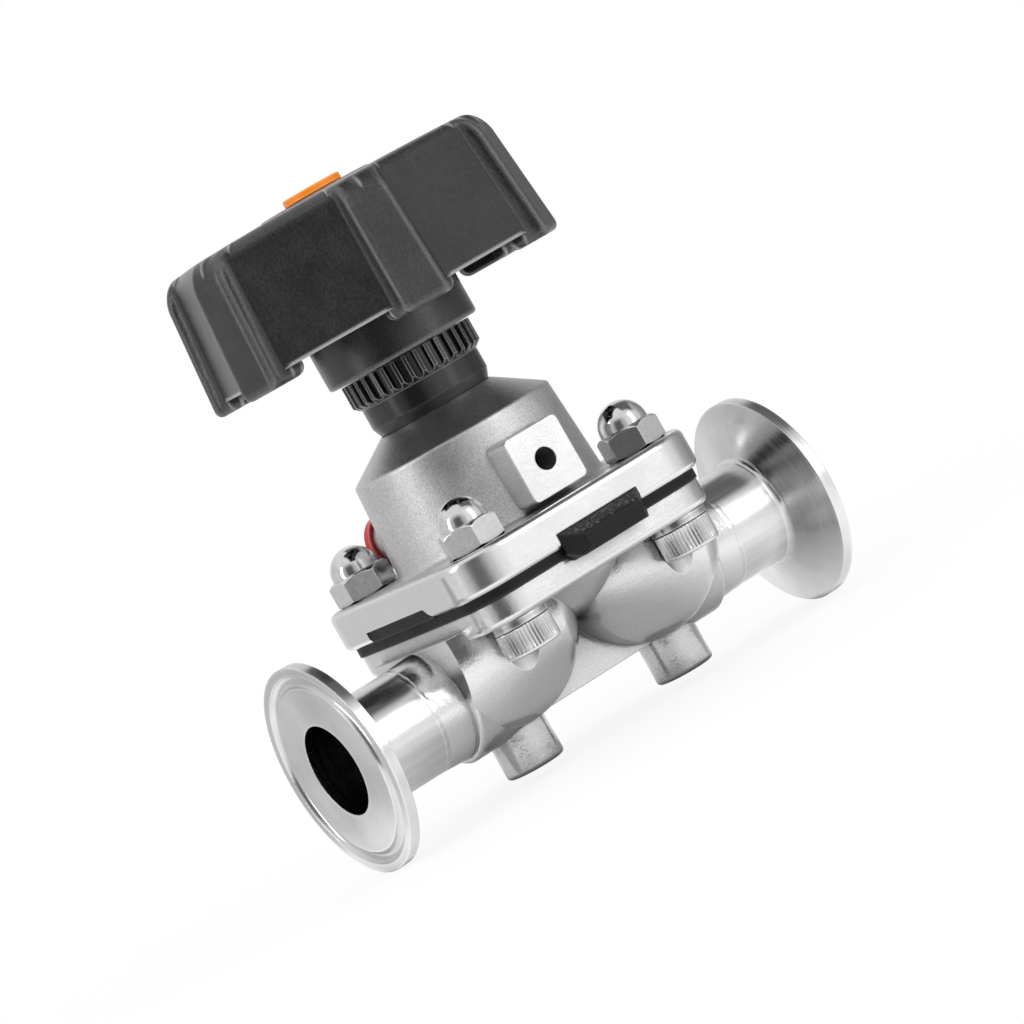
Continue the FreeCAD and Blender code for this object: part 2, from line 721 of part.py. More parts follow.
def acorn_nut():
    hex_top = NUT_SEAT_Z + NUT_HEX_HIGH
    chamfer = turned(
        (0, NUT_SEAT_Z),
        (NUT_FLATS / 2, NUT_SEAT_Z),
        (NUT_FLATS / math.sqrt(3), NUT_SEAT_Z + NUT_FOOT_CHAMFER),
        (NUT_FLATS / math.sqrt(3), hex_top - NUT_TOP_CHAMFER),
        (NUT_FLATS / 2, hex_top),
        (0, hex_top),
    )
    dome_r = NUT_DOME_D / 2
    dome_z = NUT_SEAT_Z + NUT_HIGH - dome_r
    dome = cylinder(dome_r, NUT_SEAT_Z, dome_z).fuse(Part.makeSphere(dome_r, V(0, 0, dome_z)))
    nut = hexagon(NUT_FLATS, NUT_SEAT_Z, hex_top).common(chamfer).fuse(dome)
    thread = cylinder(BOLT_D / 2, NUT_SEAT_Z, NUT_SEAT_Z + NUT_THREAD_DEPTH)
    return nut.cut(thread).removeSplitter()


def acorn_nuts():
    nut = acorn_nut()
    return [
        moved(spun(nut, turn), sx * BOLT_X, sy * BOLT_Y, 0) for (sx, sy), turn in NUT_TURNS.items()
    ]


# Neck parts
def bonnet_sleeve():
    return turned(
        (NECK_R + FIT, SHOULDER_Z + FIT),
        (SLEEVE_FOOT_R, SHOULDER_Z + FIT),
        (SLEEVE_R, SHOULDER_Z + SLEEVE_CHAMFER),
        (SLEEVE_R, NECK_TOP_Z),
        (NECK_R + FIT, NECK_TOP_Z),
    )


def splined_ring():
    """A ring of upright teeth on the neck, which also keeps the drive nut down."""
    pitch = 360 / RING_TEETH
    tooth = face(
        in_xy,
        polar(RING_ROOT_R - RING_BITE, -pitch * RING_TOOTH_ROOT_SHARE / 2),
        polar(RING_ROOT_R, -pitch * RING_TOOTH_ROOT_SHARE / 2),
        polar(RING_TIP_R, -pitch * RING_TOOTH_TIP_SHARE / 2),
        polar(RING_TIP_R, pitch * RING_TOOTH_TIP_SHARE / 2),
        polar(RING_ROOT_R, pitch * RING_TOOTH_ROOT_SHARE / 2),
        polar(RING_ROOT_R - RING_BITE, pitch * RING_TOOTH_ROOT_SHARE / 2),
    ).extrude(V(0, 0, RING_HIGH))
    tooth = moved(tooth, 0, 0, RING_BOTTOM_Z)
    blank = cylinder(RING_ROOT_R, RING_BOTTOM_Z, RING_TOP_Z)
    teeth = [spun(tooth, pitch * n) for n in range(RING_TEETH)]
    envelope = turned(
        (0, RING_BOTTOM_Z),
        (RING_TAPER_R, RING_BOTTOM_Z),
        (RING_TIP_R + RING_BITE, RING_BOTTOM_Z + RING_TAPER),
        (RING_TIP_R + RING_BITE, RING_TOP_Z),
        (0, RING_TOP_Z),
    )
    ring = fused(blank, *teeth).common(envelope)
    ring = ring.fuse(cylinder(NUT_CHAMBER_R - FIT, SPIGOT_Z, RING_BOTTOM_Z))
    return ring.cut(cylinder(DRIVE_SHANK_R + FIT, SPIGOT_Z, RING_TOP_Z)).removeSplitter()


def guide_bush():
    top = NUT_CHAMBER_Z - RUNNING_GAP
    bush = tube(BUSH_BORE_R - FIT / 2, SPINDLE_R + FIT, top - BUSH_LENGTH, top)
    return bush.cut(o_ring(FIT))


def o_ring(gap):
    middle = SPINDLE_R + FIT + O_RING_SECTION / 2
    return Part.makeTorus(middle, O_RING_SECTION / 2 + gap, V(0, 0, O_RING_Z))


def thrust_washer(bottom):
    return tube(THRUST_WASHER_R, DRIVE_SHANK_R + FIT, bottom, bottom + THRUST_WASHER_THICK)


def lower_thrust_washer():
    return tube(THRUST_WASHER_R, SPINDLE_R + 2 * FIT, NUT_CHAMBER_Z, NUT_CHAMBER_Z + THRUST_WASHER_THICK)


# Drive nut and spindle
def drive_nut():
    """Turned by the handwheel and held between two washers, it lifts the spindle by its thread."""
    top = HUB_STEP_Z
    nut = fused(
        cylinder(DRIVE_COLLAR_R, COLLAR_BOTTOM_Z, COLLAR_TOP_Z),
        cylinder(DRIVE_SHANK_R, COLLAR_BOTTOM_Z, HUB_BOTTOM_Z),
        hexagon(DRIVE_FLATS, HUB_BOTTOM_Z, top),
        cylinder(DRIVE_NECK_R, top, DRIVE_TOP_Z),
    )
    groove = tube(
        CLIP_OUTER_R, DRIVE_NECK_R - CLIP_GROOVE_DEPTH, top + FIT, top + CLIP_THICK + 3 * FIT
    )
    return nut.cut(groove).cut(cylinder(SPINDLE_R + FIT, COLLAR_BOTTOM_Z, DRIVE_TOP_Z))


def retaining_ring():
    bottom = HUB_STEP_Z + 2 * FIT
    ring = tube(CLIP_OUTER_R, DRIVE_NECK_R - CLIP_GROOVE_DEPTH + FIT, bottom, bottom + CLIP_THICK)
    reach = 2 * CLIP_OUTER_R
    gap = face(
        in_xy,
        (0, 0),
        polar(reach, -CLIP_GAP_ANGLE / 2),
        polar(reach, CLIP_GAP_ANGLE / 2),
    ).extrude(V(0, 0, CLIP_THICK))
    return ring.cut(moved(gap, 0, 0, bottom))


def spindle():
    screw = turned(
        (0, SPINDLE_FOOT_Z),
        (SPINDLE_R, SPINDLE_FOOT_Z),
        (SPINDLE_R, SPINDLE_SHOULDER_Z),
        (INDICATOR_ROD_R, SPINDLE_SHOULDER_Z + SPINDLE_R - INDICATOR_ROD_R),
        (INDICATOR_ROD_R, INDICATOR_Z + INDICATOR_HIGH - CAP_THICK),
        (0, INDICATOR_Z + INDICATOR_HIGH - CAP_THICK),
    )
    return screw.cut(compressor_pin(FIT))


def compressor_pin(gap):
    half = COMPRESSOR_BOSS_R + WING_WIDTH if gap else COMPRESSOR_BOSS_R - FIT
    return rod(PIN_R + gap, V(0, -half, PIN_Z), V(0, half, PIN_Z))


def compressor():
    """Presses the diaphragm on the weir with a round boss, eight fingers and two guide wings."""
    press_r = DOME_R - DIAPHRAGM_THICK - COMPRESSOR_GAP
    bowl = dish(press_r, DOME_DROP - COMPRESSOR_GAP, BONNET_Z, BONNET_Z)
    bar = block(-CAVITY_R, CAVITY_R, -FINGER_WIDTH / 2, FINGER_WIDTH / 2, WEIR_TOP_Z, FINGER_TOP_Z)
    fingers = [bowl.common(spun(bar, 360 / FINGER_COUNT * n)) for n in range(FINGER_COUNT // 2)]
    core = bowl.common(cylinder(COMPRESSOR_BOSS_R, WEIR_TOP_Z, FINGER_TOP_Z))
    boss = cylinder(COMPRESSOR_BOSS_R, FINGER_TOP_Z, COMPRESSOR_TOP_Z)
    wings = block(
        -WING_REACH, WING_REACH, -WING_WIDTH / 2, WING_WIDTH / 2, WING_BOTTOM_Z, COMPRESSOR_TOP_Z
    )
    whole = fused(core, boss, wings, *fingers)
    hollow = [
        cylinder(STUD_PAD_R + COMPRESSOR_GAP, WEIR_TOP_Z, DOME_TOP_Z + STUD_PAD_HIGH + COMPRESSOR_GAP),
        cylinder(STUD_R + FIT, WEIR_TOP_Z, SPINDLE_FOOT_Z),
        cylinder(SPINDLE_R + FIT, SPINDLE_FOOT_Z - FIT, COMPRESSOR_TOP_Z),
        compressor_pin(FIT),
    ]
    for cutter in hollow:
        whole = whole.cut(cutter)
    return whole.removeSplitter()


# Handwheel
def drafted_prism(apothem, half_corner, bottom, top):
    """A hexagon with its flats facing between the lobes, narrowing upwards by the draft."""
    wires = []
    for z in (bottom, top):
        reach = (apothem - (z - bottom) * math.tan(math.radians(DRAFT))) / half_corner
        corners = [V(*polar(reach, LOBE_AZIMUTH + 60 * side), z) for side in range(WHEEL_SIDES)]
        wires.append(Part.makePolygon(corners + corners[:1]))
    return Part.makeLoft(wires, True, True)


def crown_ball(top):
    """The large ball whose cap is the shallow dome of the handwheel's top."""
    radius = (FLAT_APOTHEM**2 + CROWN_FALL**2) / (2 * CROWN_FALL)
    return Part.makeSphere(radius, V(0, 0, top - radius))


def wheel_core():
    half_corner = math.cos(math.radians(180 / WHEEL_SIDES))
    core = drafted_prism(FLAT_APOTHEM, half_corner, WHEEL_BOTTOM_Z, CROWN_Z + CROWN_FALL)
    core = core.common(crown_ball(CROWN_Z))
    top_edges = [
        e
        for e in core.Edges
        if all(v.Z > CROWN_Z - FLAT_TOP_EDGE for v in e.Vertexes) and len(e.Vertexes) == 2
    ]
    return core.makeFillet(FLAT_TOP_EDGE, top_edges)


def lobe():
    """One grip pad on a corner of the handwheel, with hollow flanks running into the flats."""
    lean = math.tan(math.radians(DRAFT))
    corner_z = CROWN_Z - CROWN_FALL - LOBE_TOP_FALL
    corner_r = LOBE_R - (corner_z - LOBE_BOTTOM_Z) * lean
    top_r = corner_r - LOBE_TOP_RUN
    top_z = corner_z + LOBE_TOP_FALL
    reach = LOBE_R
    side = face(
        lambda u, z: V(u, -reach, z),
        (HUB_R, LOBE_BOTTOM_Z),
        (LOBE_R, LOBE_BOTTOM_Z),
        (corner_r, corner_z),
        ("quarter", (top_r, corner_z), (top_r, top_z)),
        (HUB_R, CROWN_Z - CROWN_FALL * (HUB_R / FLAT_APOTHEM) ** 2),
    ).extrude(V(0, 2 * reach, 0))
    pad = side.common(lobe_plan())
    skirt = [
        e
        for e in pad.Edges
        if e.BoundBox.ZMax < LOBE_BOTTOM_Z + NEAR
        and abs(e.firstVertex().Point.y) > LOBE_HALF - NEAR
        and abs(e.lastVertex().Point.y) > LOBE_HALF - NEAR
        and e.BoundBox.YLength < LOBE_HALF
    ]
    pad = pad.makeFillet(LOBE_SKIRT_CORNER, skirt)
    corners = [e for e in pad.Edges if is_pad_corner(e)]
    return pad.makeFillet(LOBE_EDGE, corners)


def is_pad_corner(edge):
    """An edge that climbs the outer face of a lobe at its side."""
    box = edge.BoundBox
    return box.ZLength > 2 * LOBE_EDGE and box.YLength < NEAR and box.XMin > FLAT_APOTHEM


def lobe_plan():
    """The lobe seen from above, drafted: a pad with a hollow flank to the flat on each side."""
    wires = []
    for z in (LOBE_BOTTOM_Z, CROWN_Z + CROWN_FALL):
        shift = (z - LOBE_BOTTOM_Z) * math.tan(math.radians(DRAFT))
        pad_u = LOBE_R - shift
        apothem = FLAT_APOTHEM - shift
        turn = math.radians(180 / WHEEL_SIDES)
        flat_u = FLAT_HALF * math.sin(turn) + apothem * math.cos(turn)
        flat_v = apothem * math.sin(turn) - FLAT_HALF * math.cos(turn)
        flank = hollow_middle((flat_u, flat_v), (pad_u, LOBE_HALF), turn)
        half = [
            Part.makeLine(V(HUB_R, flat_v, z), V(flat_u, flat_v, z)),
            Part.Arc(V(flat_u, flat_v, z), V(*flank, z), V(pad_u, LOBE_HALF, z)).toShape(),
        ]
        other = [
            Part.Arc(V(pad_u, -LOBE_HALF, z), V(flank[0], -flank[1], z), V(flat_u, -flat_v, z)).toShape(),
            Part.makeLine(V(flat_u, -flat_v, z), V(HUB_R, -flat_v, z)),
        ]
        pad = Part.makeLine(V(pad_u, LOBE_HALF, z), V(pad_u, -LOBE_HALF, z))
        back = Part.makeLine(V(HUB_R, -flat_v, z), V(HUB_R, flat_v, z))
        wires.append(Part.Wire(half + [pad] + other + [back]))
    return Part.makeLoft(wires, True, True)


def hollow_middle(start, end, turn):
    """The middle of an arc that leaves the flat along its own line and ends at the pad's edge."""
    normal = (math.cos(turn), math.sin(turn))
    du, dv = end[0] - start[0], end[1] - start[1]
    along_normal = du * normal[0] + dv * normal[1]
    radius = (du * du + dv * dv) / (2 * along_normal)
    centre = (start[0] + normal[0] * radius, start[1] + normal[1] * radius)
    chord_mid = ((start[0] + end[0]) / 2, (start[1] + end[1]) / 2)
    out = (chord_mid[0] - centre[0], chord_mid[1] - centre[1])
    size = math.hypot(*out)
    return centre[0] + out[0] / size * radius, centre[1] + out[1] / size * radius


def wheel_cavity():
    """The hollow under the handwheel's skin, one wall in from the outside."""
    half_corner = math.cos(math.radians(180 / WHEEL_SIDES))
    core = drafted_prism(FLAT_APOTHEM - WHEEL_WALL, half_corner, LOBE_BOTTOM_Z - WHEEL_WALL, CROWN_Z)
    return core.common(crown_ball(CROWN_Z - WHEEL_WALL))


def rib():
    inner = HUB_R / 2
    outer = FLAT_APOTHEM - WHEEL_WALL / 2
    return block(inner, outer, -RIB_THICK / 2, RIB_THICK / 2, HUB_STEP_Z, CROWN_Z - WHEEL_WALL)


def handwheel():
    pads = [spun(lobe(), LOBE_AZIMUTH + 60 * n) for n in range(WHEEL_SIDES)]
    shell = fused(wheel_core(), *pads)
    shell = shell.cut(wheel_cavity())
    ribs = [spun(rib(), LOBE_AZIMUTH + 60 * n) for n in range(WHEEL_SIDES)]
    hub = cylinder(HUB_R, HUB_BOTTOM_Z, HUB_STEP_Z + WHEEL_WALL)
    hub = round_edges_at(hub, HUB_BOTTOM_Z, HUB_EDGE, is_round)
    column = cylinder(COLUMN_R, HUB_STEP_Z, CROWN_Z - WHEEL_WALL / 2)
    wheel = fused(shell, hub, column, *ribs)
    hollow = [
        hexagon(DRIVE_FLATS + 2 * FIT, HUB_BOTTOM_Z, HUB_STEP_Z),
        cylinder(CLIP_WELL_R, HUB_STEP_Z, CROWN_Z),
        cylinder(LABEL_R + FIT, LABEL_TOP_Z - LABEL_THICK, CROWN_Z),
    ]
    for cutter in hollow:
        wheel = wheel.cut(cutter)
    return wheel.removeSplitter()


def label_disc():
    return tube(LABEL_R, ROD_HOLE_R, LABEL_TOP_Z - LABEL_THICK, LABEL_TOP_Z)


def position_indicator():
    top = INDICATOR_Z + INDICATOR_HIGH
    cap = cylinder(INDICATOR_R, INDICATOR_Z, top)
    cap = round_edges_at(cap, top, INDICATOR_EDGE, is_round)
    return cap.cut(cylinder(INDICATOR_ROD_R + FIT, INDICATOR_Z, top - CAP_THICK))


os.makedirs("parts", exist_ok=True)
save("valve_body", valve_body())
save("inlet_ferrule", spun(ferrule(), 180))
save("outlet_ferrule", ferrule())
save("diaphragm", diaphragm())
save("bonnet", bonnet())
save("leak_port_plug", leak_port_plug())
save("cap_screws", at_bolts(cap_screw()))
save("screw_washers", at_bolts(screw_washer()))
save("acorn_nuts", acorn_nuts())
save("bonnet_sleeve", bonnet_sleeve())
save("splined_ring", splined_ring())
save("guide_bush", guide_bush())
save("spindle_o_ring", o_ring(0))
save("thrust_washer_lower", lower_thrust_washer())
save("thrust_washer_upper", thrust_washer(UPPER_WASHER_Z))
save("drive_nut", drive_nut())
save("retaining_ring", retaining_ring())
save("handwheel", handwheel())
save("label_disc", label_disc())
save("spindle", spindle())
save("compressor", compressor())
save("compressor_pin", compressor_pin(0))
save("diaphragm_stud", stud(0))
save("position_indicator", position_indicator())
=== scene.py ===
import json
import math

import bmesh
import bpy
from mathutils import Matrix, Vector


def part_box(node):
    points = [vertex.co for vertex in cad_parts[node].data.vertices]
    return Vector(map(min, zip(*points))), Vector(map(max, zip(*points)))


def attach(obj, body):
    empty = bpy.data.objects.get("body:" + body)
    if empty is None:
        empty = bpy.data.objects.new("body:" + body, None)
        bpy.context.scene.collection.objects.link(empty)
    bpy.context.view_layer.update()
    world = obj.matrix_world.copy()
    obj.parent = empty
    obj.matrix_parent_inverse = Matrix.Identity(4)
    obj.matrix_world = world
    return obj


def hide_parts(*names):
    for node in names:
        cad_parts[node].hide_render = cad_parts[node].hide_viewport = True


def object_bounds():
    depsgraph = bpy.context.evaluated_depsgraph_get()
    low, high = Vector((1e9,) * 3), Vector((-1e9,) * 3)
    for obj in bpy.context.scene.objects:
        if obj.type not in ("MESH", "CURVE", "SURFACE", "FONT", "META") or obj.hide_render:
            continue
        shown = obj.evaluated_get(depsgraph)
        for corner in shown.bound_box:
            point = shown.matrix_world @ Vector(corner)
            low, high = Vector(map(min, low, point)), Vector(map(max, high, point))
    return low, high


# A sanitary diaphragm valve on a pale floor, in metres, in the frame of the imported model.

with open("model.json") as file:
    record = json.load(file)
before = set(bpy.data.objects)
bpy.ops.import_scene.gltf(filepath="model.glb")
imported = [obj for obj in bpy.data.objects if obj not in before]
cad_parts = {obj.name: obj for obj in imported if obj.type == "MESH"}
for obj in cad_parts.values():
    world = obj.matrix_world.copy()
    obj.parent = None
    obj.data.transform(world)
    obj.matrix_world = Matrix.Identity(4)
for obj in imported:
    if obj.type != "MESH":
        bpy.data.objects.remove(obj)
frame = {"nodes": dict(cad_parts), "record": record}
cad_bounds = [list(corner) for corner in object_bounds()]
nodes = frame["nodes"]

MM = 0.001

# Camera, as the photograph was taken
CAMERA_PLACE = (-0.50984, -0.99080, 0.08667)
CAMERA_HEADING = 27.399
CAMERA_DIP = 2.988
CAMERA_ROLL = -29.647
PHOTO_PIXELS = 1024
FOCAL_PIXELS = 5004.4
SENSOR_MM = 36.0

# Studio
FLOOR_SIZE = 0.9
# How bright the floor is in reflections: a painted shade under the object, brightening outwards
FLOOR_GLOSS_PAINTED_SHADE = (0.36, 1.0)
FLOOR_GLOSS_PAINTED_SHADE_REACH = (0.025, 0.085)
# Beyond this reflections look through it
FLOOR_OPEN_REACH = (0.10, 0.20)
# The share of it that is plain white, which rises outwards
FLOOR_WHITE_NEAR = 0.88
FLOOR_FADE_REACH = (0.05, 0.30)
LOW_POINT = cad_bounds[0][2]

# Where most of a noise lies
NOISE_RANGE = (0.3, 0.7)

# How closed an outer edge is, from inside, where the painted edge highlight starts and where it is full
RIDGE_RANGE = (0.96, 0.70)


# Material helpers
def empty_material(name):
    material = bpy.data.materials.new(name)
    material.use_nodes = True
    tree = material.node_tree
    tree.nodes.clear()
    return material, tree, tree.nodes.new("ShaderNodeOutputMaterial")


def new_material(name):
    material, tree, output = empty_material(name)
    shader = tree.nodes.new("ShaderNodeBsdfPrincipled")
    tree.links.new(shader.outputs[0], output.inputs["Surface"])
    return material, tree, shader


def add_node(tree, kind, **settings):
    node = tree.nodes.new(kind)
    for key, value in settings.items():
        if hasattr(node, key):
            setattr(node, key, value)
        else:
            node.inputs[key].default_value = value
    return node


def object_place(tree, stretch=(1, 1, 1)):
    """Coordinates in the part's own frame, stretched along an axis."""
    place = tree.nodes.new("ShaderNodeTexCoord")
    mapping = add_node(tree, "ShaderNodeMapping", Scale=stretch)
    tree.links.new(place.outputs["Object"], mapping.inputs["Vector"])
    return mapping.outputs["Vector"]


def noise(tree, scale, detail=4.0, rough=0.55, stretch=(1, 1, 1)):
    node = add_node(tree, "ShaderNodeTexNoise", Scale=scale, Detail=detail, Roughness=rough)
    tree.links.new(object_place(tree, stretch), node.inputs["Vector"])
    return node.outputs["Fac"]


def map_range(tree, source, from_low, from_high, to_low, to_high, interpolation="LINEAR"):
    node = add_node(tree, "ShaderNodeMapRange", interpolation_type=interpolation)
    names = ("From Min", "From Max", "To Min", "To Max")
    for name, value in zip(names, (from_low, from_high, to_low, to_high)):
        node.inputs[name].default_value = value
    tree.links.new(source, node.inputs["Value"])
    return node.outputs["Result"]


def spread(tree, source, low, high):
    """A noise spread between two numbers."""
    return map_range(tree, source, *NOISE_RANGE, low, high)


def ramp_between(tree, source, start, end, low=0.0, high=1.0):
    """low at start, high at end, and smooth between them."""
    return map_range(tree, source, start, end, low, high, "SMOOTHSTEP")


def two_tone(tree, source, dark, light, low=NOISE_RANGE[0], high=NOISE_RANGE[1]):
    """A colour that goes from dark to light as a noise goes from low to high."""
    ramp = tree.nodes.new("ShaderNodeValToRGB")
    ramp.color_ramp.elements[0].position = low
    ramp.color_ramp.elements[1].position = high
    ramp.color_ramp.elements[0].color = (*dark, 1)
    ramp.color_ramp.elements[1].color = (*light, 1)
    tree.links.new(source, ramp.inputs["Fac"])
    return ramp.outputs["Color"]


def soft_edges(tree, radius):
    """Edges read as rounded by this radius."""
    node = add_node(tree, "ShaderNodeBevel", samples=4, Radius=radius)
    return node.outputs["Normal"]


def bump(tree, height, strength, distance, normal=None):
    node = add_node(tree, "ShaderNodeBump", Strength=strength, Distance=distance)
    tree.links.new(height, node.inputs["Height"])
    if normal is not None:
        tree.links.new(normal, node.inputs["Normal"])
    return node.outputs["Normal"]


def grey(value):
    """A neutral tone, very slightly blue as steel is."""
    return (value, value, value * 1.01)


def math_node(tree, operation, *values):
    """A math node, whose values are sockets or plain numbers."""
    node = add_node(tree, "ShaderNodeMath", operation=operation)
    for slot, value in zip(node.inputs, values):
        if isinstance(value, (int, float)):
            slot.default_value = value
        else:
            tree.links.new(value, slot)
    return node.outputs[0]


def blend_values(tree, share, first, second):
    """first where share is 0, second where it is 1."""
    rest = math_node(tree, "SUBTRACT", 1.0, share)
    kept = math_node(tree, "MULTIPLY", first, rest)
    added = math_node(tree, "MULTIPLY", second, share)
    return math_node(tree, "ADD", kept, added)


def blend_colours(tree, share, first, second):
    """The same for colours, which are sockets or plain colours."""
    node = add_node(tree, "ShaderNodeMix", data_type="RGBA")
    tree.links.new(share, node.inputs[0])
    for slot, value in ((node.inputs[6], first), (node.inputs[7], second)):
        if isinstance(value, tuple):
            slot.default_value = (*value, 1)
        else:
            tree.links.new(value, slot)
    return node.outputs[2]


def scaled(tree, colour, factor):
    """A colour made darker or lighter by a factor."""
    node = add_node(tree, "ShaderNodeVectorMath", operation="SCALE")
    tree.links.new(colour, node.inputs[0])
    tree.links.new(factor, node.inputs["Scale"])
    return node.outputs["Vector"]


def openness(tree, reach):
    """1 on open faces, falling towards 0 in corners and gaps."""
    return add_node(tree, "ShaderNodeAmbientOcclusion", samples=4, Distance=reach).outputs["AO"]


def ridges(tree, reach):
    """1 along outer edges, 0 on open faces and in corners."""
    node = add_node(tree, "ShaderNodeAmbientOcclusion", samples=6, Distance=reach)
    node.inside = node.only_local = True
    return ramp_between(tree, node.outputs["AO"], *RIDGE_RANGE)


def place_parts(tree):
    """x, y and z in the part's own frame."""
    node = tree.nodes.new("ShaderNodeSeparateXYZ")
    tree.links.new(object_place(tree), node.inputs[0])
    return node.outputs


# Pale colour painted on the outer edges of steel as a highlight
STEEL_EDGE_HIGHLIGHT = (0.93, 0.93, 0.93)
# Painted shade in corners, creases and gaps: from how open a place is to how dark it is painted, for steel
# and for moulded pieces
STEEL_PAINTED_SHADE = (0.30, 0.85, 0.20, 1.0)
MOULDED_PAINTED_SHADE = (0.45, 0.95, 0.15, 1.0)
# How far the painted shade reaches into corners by default
PAINTED_SHADE_REACH = 1.6 * MM
STEEL_EDGE = 0.35 * MM
# How wide the painted edge highlight on steel is
EDGE_HIGHLIGHT_WIDTH = 0.8 * MM
GRAIN_DEPTH = 0.06 * MM
CLOUD_DEPTH = 1.0 * MM
MACHINED_TONES = (grey(0.84), grey(0.92))
MACHINED_ROUGH = (0.15, 0.26)
MACHINED_GRAIN = 0.25


def finish_steel(tree, shader, colour, rough, ridge, normal, painted_shade_distance=PAINTED_SHADE_REACH):
    """Painted shade in the corners, paler edges as a painted highlight, and everything into the shader."""
    # Base colour darkened as painted shade where the surface is closed in
    painted_shade = ramp_between(tree, openness(tree, painted_shade_distance), *STEEL_PAINTED_SHADE)
    # Outer edges painted paler, as a highlight
    highlit = blend_colours(tree, ridge, colour, STEEL_EDGE_HIGHLIGHT)
    tree.links.new(scaled(tree, highlit, painted_shade), shader.inputs["Base Color"])
    tree.links.new(rough, shader.inputs["Roughness"])
    tree.links.new(normal, shader.inputs["Normal"])


def metal(name, dark, light, rough, fine, cloud=(90.0, 0.08), smooth_where=None, painted_shade_distance=PAINTED_SHADE_REACH):
    """Bare metal: a cloudy tone (scale, bump), a fine grain (scale, stretch, bump) and uneven polish."""
    material, tree, shader = new_material(name)
    shader.inputs["Metallic"].default_value = 1.0
    cloud_scale, cloud_lift = cloud
    scale, stretch, lift = fine
    clouds = noise(tree, cloud_scale, detail=6.0, rough=0.62)
    grain = noise(tree, scale, detail=4.0, rough=0.65, stretch=stretch)
    tone = math_node(tree, "MULTIPLY_ADD", grain, 0.75, math_node(tree, "MULTIPLY", clouds, 0.25))
    colour = two_tone(tree, tone, dark, light, low=0.38, high=0.62)
    polish = spread(tree, clouds, *rough)
    soft = soft_edges(tree, STEEL_EDGE)
    lifted = grain
    if smooth_where:
        share = smooth_where(tree)
        machined = two_tone(tree, tone, *MACHINED_TONES, low=0.30, high=0.52)
        colour = blend_colours(tree, share, colour, machined)
        polish = blend_values(tree, share, polish, spread(tree, clouds, *MACHINED_ROUGH))
        left = math_node(tree, "MULTIPLY_ADD", share, MACHINED_GRAIN - 1.0, 1.0)
        lifted = math_node(tree, "MULTIPLY", grain, left)
    waves = bump(tree, clouds, cloud_lift, CLOUD_DEPTH, soft)
    normal = bump(tree, lifted, lift, GRAIN_DEPTH, waves)
    finish_steel(tree, shader, colour, polish, ridges(tree, EDGE_HIGHLIGHT_WIDTH), normal, painted_shade_distance)
    return material


def body_flange(tree):
    """The body's flange, above its underside."""
    return ramp_between(tree, place_parts(tree)[2], BODY_FLANGE_Z - 0.3 * MM, BODY_FLANGE_Z + 0.1 * MM)


def bonnet_machined(tree):
    """The rim of the bonnet's flange and the face of its square port."""
    x, y, z = place_parts(tree)
    rim = ramp_between(tree, z, NUT_SEAT_Z, NUT_SEAT_Z - 0.6 * MM)
    port = ramp_between(tree, y, PORT_FACE_Y + 0.5 * MM, PORT_FACE_Y + 0.1 * MM)
    return math_node(tree, "MAXIMUM", rim, port)


def drawn_tube(name, dark, light):
    """Polished tube with streaks along it, and fine turned rings on the ferrule's faces."""
    material, tree, shader = new_material(name)
    shader.inputs["Metallic"].default_value = 1.0
    x, y, z = place_parts(tree)
    away = math_node(tree, "ABSOLUTE", x)
    turned = ramp_between(tree, away, TUBE_END_X - 0.4 * MM, TUBE_END_X + 0.4 * MM)
    streaks = noise(tree, 520.0, detail=5.0, rough=0.7, stretch=ALONG_PIPE)
    squares = math_node(tree, "ADD", math_node(tree, "POWER", y, 2.0), math_node(tree, "POWER", z, 2.0))
    radius = math_node(tree, "SQRT", squares)
    rings_at = tree.nodes.new("ShaderNodeCombineXYZ")
    tree.links.new(math_node(tree, "MULTIPLY", radius, RINGS_OUTWARD), rings_at.inputs[0])
    tree.links.new(math_node(tree, "MULTIPLY", x, RINGS_ALONG), rings_at.inputs[1])
    rings = add_node(tree, "ShaderNodeTexNoise", Scale=1.0, Detail=3.0, Roughness=0.6)
    tree.links.new(rings_at.outputs[0], rings.inputs["Vector"])
    grain = blend_values(tree, turned, streaks, rings.outputs["Fac"])
    clouds = noise(tree, 60.0, detail=4.0, rough=0.5)
    contrast = math_node(tree, "MULTIPLY_ADD", turned, RINGS_SHARE - STREAKS_SHARE, STREAKS_SHARE)
    rest = math_node(tree, "MULTIPLY", clouds, math_node(tree, "SUBTRACT", 1.0, contrast))
    tone = math_node(tree, "MULTIPLY_ADD", grain, contrast, rest)
    colour = two_tone(tree, tone, dark, light, low=0.36, high=0.64)
    polish = spread(tree, grain, *TUBE_ROUGH)
    soft = soft_edges(tree, TUBE_EDGE)
    # The bore is painted darker, as painted shade inside the tube
    painted_bore_shade = ramp_between(tree, radius, BORE_R + 0.15 * MM, BORE_R + 0.05 * MM, 1.0, BORE_SHADE)
    waves = bump(tree, clouds, 0.03, CLOUD_DEPTH, soft)
    normal = bump(tree, grain, 0.06, 0.05 * MM, waves)
    finish_steel(tree, shader, scaled(tree, colour, painted_bore_shade), polish, ridges(tree, 0.7 * MM), normal)
    return material


